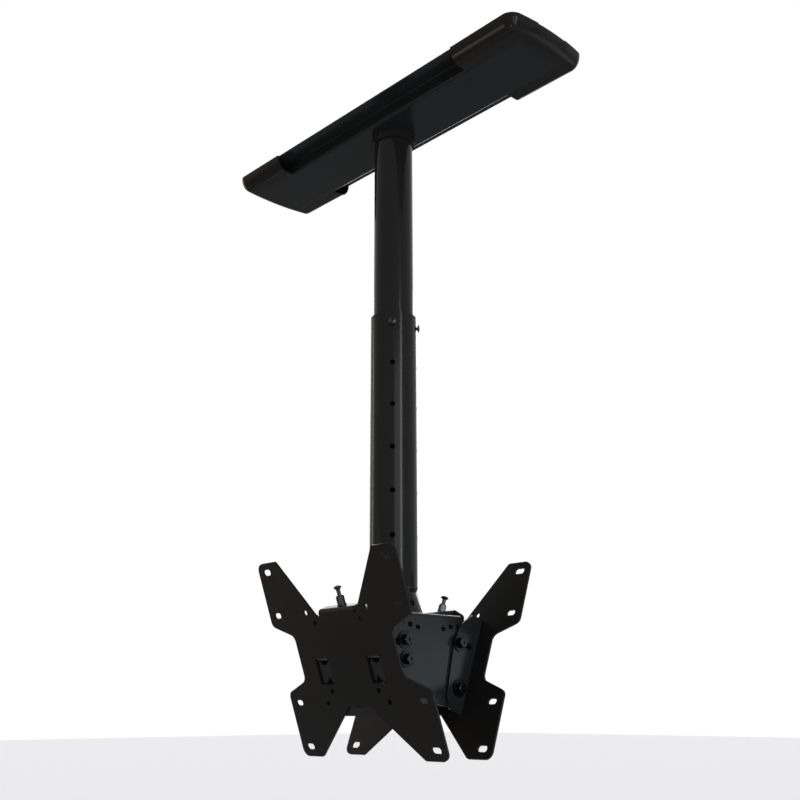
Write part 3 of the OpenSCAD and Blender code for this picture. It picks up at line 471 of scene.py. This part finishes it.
# Tilt brackets: U channels folded from 2.5 mm steel that turn outside the yoke. Arc slots in
# their sides limit the tilt, and windows in their web take the hooks of the screen plates.

dress("front_tilt_bracket", side_coat, 0.0002)
dress("rear_tilt_bracket", side_coat, 0.0002)

# Screen plates: pressed steel plates that are screwed to the screens and hang on the brackets by
# a folded hook. Their arms carry the slots and holes of the standard screen patterns.

dress("front_screen_plate", coat, 0.0002)
dress("rear_screen_plate", coat, 0.0002)

# Tilt fasteners: hexagon bolts with a cross recess, blackened zinc, each on a spring lock washer
# and a wide flat washer, and a nut inside the yoke.

bolt_end, bolt_threaded, bolt_head_seat, bolt_head_height = 0.050, 0.007, 0.065, 0.0042
bolt_radius, bolt_play, bolt_pitch, bolt_flats = 0.003, 0.00002, 0.001, 0.010
cross_arm, cross_half, cross_depth = 0.0027, 0.00065, 0.0019
nut_inner, nut_outer, nut_bore, nut_face = 0.051, 0.056, 0.0030, 0.0047


def cross(arm, half_width):
    """Radius of an upright cross recess at an angle."""
    def reach(angle):
        from_arm = (angle + math.pi / 4) % (math.pi / 2) - math.pi / 4
        return min(arm, half_width / max(1e-6, abs(math.sin(from_arm))))

    return reach


def cross_bolts(name, node, sides, body):
    """The bolts of one node, on the sides of the yoke that hold one: thread, head and recess."""
    low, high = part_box(node)
    bolts = bmesh.new()
    for side in sides:
        seat = (Matrix.Translation((0, (low[1] + high[1]) / 2, (low[2] + high[2]) / 2))
                @ Matrix.Rotation(0 if side > 0 else math.pi, 4, "Z") @ Matrix.Rotation(math.pi / 2, 4, "Y"))
        top = bolt_head_seat + bolt_head_height
        shank = bolt_radius - bolt_play
        rings = [(0.0022, bolt_end)]
        rings += thread(shank, bolt_pitch, bolt_end + 0.0005, bolt_end + bolt_threaded)
        rings += [(shank, bolt_end + bolt_threaded + 0.0005), (shank, bolt_head_seat)]
        rings += [(hexagon(0.0098), bolt_head_seat),
                  (hexagon(bolt_flats), bolt_head_seat + 0.0002),
                  (hexagon(bolt_flats), top - 0.0009), (0.0048, top - 0.0002), (0.0045, top)]
        rings += [(cross(cross_arm, cross_half), top), (cross(0.0025, 0.00055), top - 0.0010),
                  (cross(0.0012, 0.0004), top - cross_depth)]
        turned(bolts, rings, seat)
    return finished(name, bolts, head_zinc, "dark_zinc", body, node)


def hexagon_nuts(name, node, places, body):
    """Nuts against the inside of the yoke's sides, chamfered on the face that looks into the yoke, their
    thread drawn as a plain bore countersunk on that face.
    """
    nuts = bmesh.new()
    for y, z, side in places:
        seat = (Matrix.Translation((0, y, z)) @ Matrix.Rotation(0 if side > 0 else math.pi, 4, "Z")
                @ Matrix.Rotation(math.pi / 2, 4, "Y"))
        turned(nuts, [(nut_bore, nut_inner + 0.0003), (0.0034, nut_inner), (nut_face, nut_inner),
                      (hexagon(bolt_flats), nut_inner + 0.0007), (hexagon(bolt_flats), nut_outer),
                      (nut_bore, nut_outer)], seat, closed=True)
    return finished(name, nuts, dark_zinc, "dark_zinc", body, node)


head_zinc = black_zinc("bolt_zinc", (0.015, 0.015, 0.017), 0.26)
washer_zinc = black_zinc("washer_zinc", (0.011, 0.012, 0.013), 0.34)
lock_washer_zinc = black_zinc("lock_washer_zinc", (0.008, 0.008, 0.009), 0.40)
for end, lock_side in (("front", 1), ("rear", -1)):
    cross_bolts(f"{end}_pivot_bolt_pair", f"{end}_pivot_bolts", (1, -1), "head")
    cross_bolts(f"{end}_tilt_bolt_pair", f"{end}_tilt_bolts", (1, -1), "head")
    cross_bolts(f"{end}_lock_bolt_single", f"{end}_lock_bolt", (lock_side,), "head")
    places = []
    for kind, sides in (("pivot_bolts", (1, -1)), ("tilt_bolts", (1, -1)),
                        ("lock_bolt", (lock_side,))):
        low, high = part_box(f"{end}_{kind}")
        places += [((low[1] + high[1]) / 2, (low[2] + high[2]) / 2, side) for side in sides]
    hexagon_nuts(f"{end}_nut_set", f"{end}_nuts", places, "head")
    dress(f"{end}_flat_washers", washer_zinc, 0.0002)
    dress(f"{end}_lock_washers", lock_washer_zinc, 0.0002)

# Spring plungers: a hexagon barrel in each plate's hook, a pull pin with a domed head, and a
# coil spring of 0.5 mm wire inside that keeps the pin's nose in the bracket.

wire_radius, coil_radius, coil_length, coil_turns = 0.00025, 0.00275, 0.00568, 4.5
coil_steps, wire_sides = 28, 8


def spring_wire(name):
    """Bright drawn spring wire: polished metal with fine lines along it."""
    wire = bpy.data.materials.new(name)
    wire.use_nodes = True
    nodes, links = wire.node_tree.nodes, wire.node_tree.links
    shader = nodes["Principled BSDF"]
    shader.inputs["Metallic"].default_value = 1.0
    place = nodes.new("ShaderNodeTexCoord")
    lines = nodes.new("ShaderNodeTexNoise")
    lines.inputs["Scale"].default_value = 2500.0
    links.new(place.outputs["Object"], lines.inputs["Vector"])
    tone = nodes.new("ShaderNodeValToRGB")
    tone.color_ramp.elements[0].color = (0.30, 0.30, 0.31, 1.0)
    tone.color_ramp.elements[1].color = (0.55, 0.55, 0.56, 1.0)
    links.new(lines.outputs["Fac"], tone.inputs["Fac"])
    links.new(tone.outputs["Color"], shader.inputs["Base Color"])
    gloss = nodes.new("ShaderNodeMapRange")
    gloss.inputs["To Min"].default_value = 0.2
    gloss.inputs["To Max"].default_value = 0.4
    links.new(lines.outputs["Fac"], gloss.inputs["Value"])
    links.new(gloss.outputs["Result"], shader.inputs["Roughness"])
    bump = nodes.new("ShaderNodeBump")
    bump.inputs["Strength"].default_value = 0.1
    bump.inputs["Distance"].default_value = 0.00001
    links.new(lines.outputs["Fac"], bump.inputs["Height"])
    links.new(bump.outputs["Normal"], shader.inputs["Normal"])
    return wire


def coil_spring(name, node, lean, body):
    """One wire wound round the plunger's axis, leaning with its plate. Pulling the pin squeezes it
    against the barrel's shoulder."""
    low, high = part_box(node)
    seat = (Matrix.Translation([(a + b) / 2 for a, b in zip(low, high)])
            @ Matrix.Rotation(lean, 4, "X") @ Matrix.Translation((0, 0, -coil_length / 2)))
    coil = bmesh.new()
    rows = []
    steps = int(coil_turns * coil_steps)
    for k in range(steps + 1):
        angle = 2 * math.pi * coil_turns * k / steps
        out = Vector((math.cos(angle), math.sin(angle), 0))
        centre = out * coil_radius + Vector((0, 0, coil_length * k / steps))
        row = []
        for j in range(wire_sides):
            turn = 2 * math.pi * j / wire_sides
            round_wire = out * math.cos(turn) + Vector((0, 0, math.sin(turn)))
            row.append(coil.verts.new(seat @ (centre + wire_radius * round_wire)))
        rows.append(row)
    for first, second in zip(rows, rows[1:]):
        for j in range(wire_sides):
            beside = (j + 1) % wire_sides
            coil.faces.new((first[j], second[j], second[beside], first[beside]))
    coil.faces.new(rows[0])
    coil.faces.new(rows[-1][::-1])
    piece = finished(name, coil, bright_wire, "spring_steel", body, node)
    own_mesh(piece)
    return piece


bright_wire = spring_wire("spring_wire")
plunger_zinc = black_zinc("plunger_zinc", (0.030, 0.030, 0.032), 0.30)
for end, lean in (("front", math.radians(20)), ("rear", math.radians(-20))):
    dress(f"{end}_plunger_barrel", plunger_zinc, 0.00015)
    dress(f"{end}_plunger_pin", plunger_zinc, 0.00015)
    coil_spring(f"{end}_coil_spring", f"{end}_plunger_spring", lean, f"{end}_screen")

# Studio: a plain pale floor far below the hanging mount, and a white background. The light is a
# soft even sky, cool boxes at the right and behind, warm ones at the left and below.


def soft_box(name, place, target, width, height, watts, colour):
    """An area lamp aimed at a point."""
    data = bpy.data.lights.new(name, "AREA")
    data.shape = "RECTANGLE"
    data.size = width
    data.size_y = height
    data.energy = watts
    data.color = colour
    lamp = bpy.data.objects.new(name, data)
    lamp.location = place
    lamp.rotation_euler = (Vector(target) - Vector(place)).to_track_quat("-Z", "Y").to_euler()
    lamp.visible_camera = False
    bpy.context.scene.collection.objects.link(lamp)
    return lamp


floor_half, floor_height, floor_glow = 40.0, -1.75, 0.4
floor_mesh = bpy.data.meshes.new("floor")
floor_mesh.from_pydata([(x * floor_half, y * floor_half, floor_height)
                        for x, y in ((-1, -1), (1, -1), (1, 1), (-1, 1))], [], [(0, 1, 2, 3)])
floor = bpy.data.objects.new("floor", floor_mesh)
bpy.context.scene.collection.objects.link(floor)
pale = bpy.data.materials.new("pale_floor")
pale.use_nodes = True
nodes, links = pale.node_tree.nodes, pale.node_tree.links
matt = nodes["Principled BSDF"]
matt.inputs["Base Color"].default_value = (0.85, 0.85, 0.85, 1.0)
matt.inputs["Roughness"].default_value = 0.9
matt.inputs["Emission Color"].default_value = (1, 1, 1, 1)
glow = nodes.new("ShaderNodeMath")
glow.operation = "MULTIPLY"
glow.inputs[1].default_value = floor_glow
to_camera = nodes.new("ShaderNodeLightPath")
links.new(to_camera.outputs["Is Camera Ray"], glow.inputs[0])
links.new(glow.outputs[0], matt.inputs["Emission Strength"])
floor_mesh.materials.append(pale)

world = bpy.data.worlds.new("studio")
bpy.context.scene.world = world
world.use_nodes = True
nodes, links = world.node_tree.nodes, world.node_tree.links
nodes.clear()
out = nodes.new("ShaderNodeOutputWorld")
seen = nodes.new("ShaderNodeBackground")
seen.inputs["Color"].default_value = (1, 1, 1, 1)
sky = nodes.new("ShaderNodeBackground")
sky.inputs["Color"].default_value = (0.45, 0.45, 0.47, 1)
path = nodes.new("ShaderNodeLightPath")
mirror_or_glass = nodes.new("ShaderNodeMath")
mirror_or_glass.operation = "MAXIMUM"
links.new(path.outputs["Is Glossy Ray"], mirror_or_glass.inputs[0])
links.new(path.outputs["Is Transmission Ray"], mirror_or_glass.inputs[1])
any_of_them = nodes.new("ShaderNodeMath")
any_of_them.operation = "MAXIMUM"
links.new(path.outputs["Is Camera Ray"], any_of_them.inputs[0])
links.new(mirror_or_glass.outputs[0], any_of_them.inputs[1])
mix = nodes.new("ShaderNodeMixShader")
links.new(any_of_them.outputs[0], mix.inputs["Fac"])
links.new(sky.outputs[0], mix.inputs[1])
links.new(seen.outputs[0], mix.inputs[2])
links.new(mix.outputs[0], out.inputs["Surface"])

column_middle = (0.0, 0.0, -0.45)
soft_box("right_box", (2.15, -0.85, -0.35), column_middle, 1.3, 1.6, 25.0, (0.84, 0.93, 1.0))
soft_box("right_strip", (2.28, -0.20, -0.35), column_middle, 0.36, 1.9, 34.0, (0.78, 0.90, 1.0))
soft_box("left_strip", (-2.3, -0.75, -0.35), column_middle, 0.12, 1.9, 8.0, (1.0, 0.90, 0.76))
soft_box("left_box", (-0.9, -1.65, -0.62), (0.1, 0.0, -0.2), 0.45, 0.6, 6.0, (1.0, 0.93, 0.84))
soft_box("side_box", (1.65, 1.65, -1.05), (0.0, 0.0, -0.7), 1.2, 1.1, 11.0, (0.80, 0.93, 1.0))
soft_box("under_strip", (-0.9, 0.1, -1.6), (0.0, 0.0, 0.0), 0.15, 1.4, 2.5, (1.0, 0.95, 0.88))
soft_box("low_box", (1.0, -1.0, -1.35), (0.2, 0.0, -0.1), 0.25, 0.25, 3.0, (1.0, 0.97, 0.93))
soft_box("back_box", (-1.7, 1.75, 0.15), column_middle, 1.2, 1.2, 16.0, (1.0, 0.98, 0.95))

# Camera: level with the head, to the right of the front plate, and looking up at the ceiling
# channel, as the photograph was taken.

camera_place, camera_lens, sensor_width = (0.8686, -0.7989, -0.7232), 46.79, 36.0
camera_yaw, camera_pitch, camera_roll = 47.02, 106.67, -0.12
camera_data = bpy.data.cameras.new("camera")
camera_data.sensor_fit = "HORIZONTAL"
camera_data.sensor_width = sensor_width
camera_data.lens = camera_lens
camera = bpy.data.objects.new("camera", camera_data)
camera.location = camera_place
camera.rotation_euler = (Matrix.Rotation(math.radians(camera_yaw), 3, "Z")
                         @ Matrix.Rotation(math.radians(camera_pitch), 3, "X")
                         @ Matrix.Rotation(math.radians(camera_roll), 3, "Z")).to_euler()
bpy.context.scene.collection.objects.link(camera)
bpy.context.scene.camera = camera
bpy.context.scene.view_settings.view_transform = "Standard"
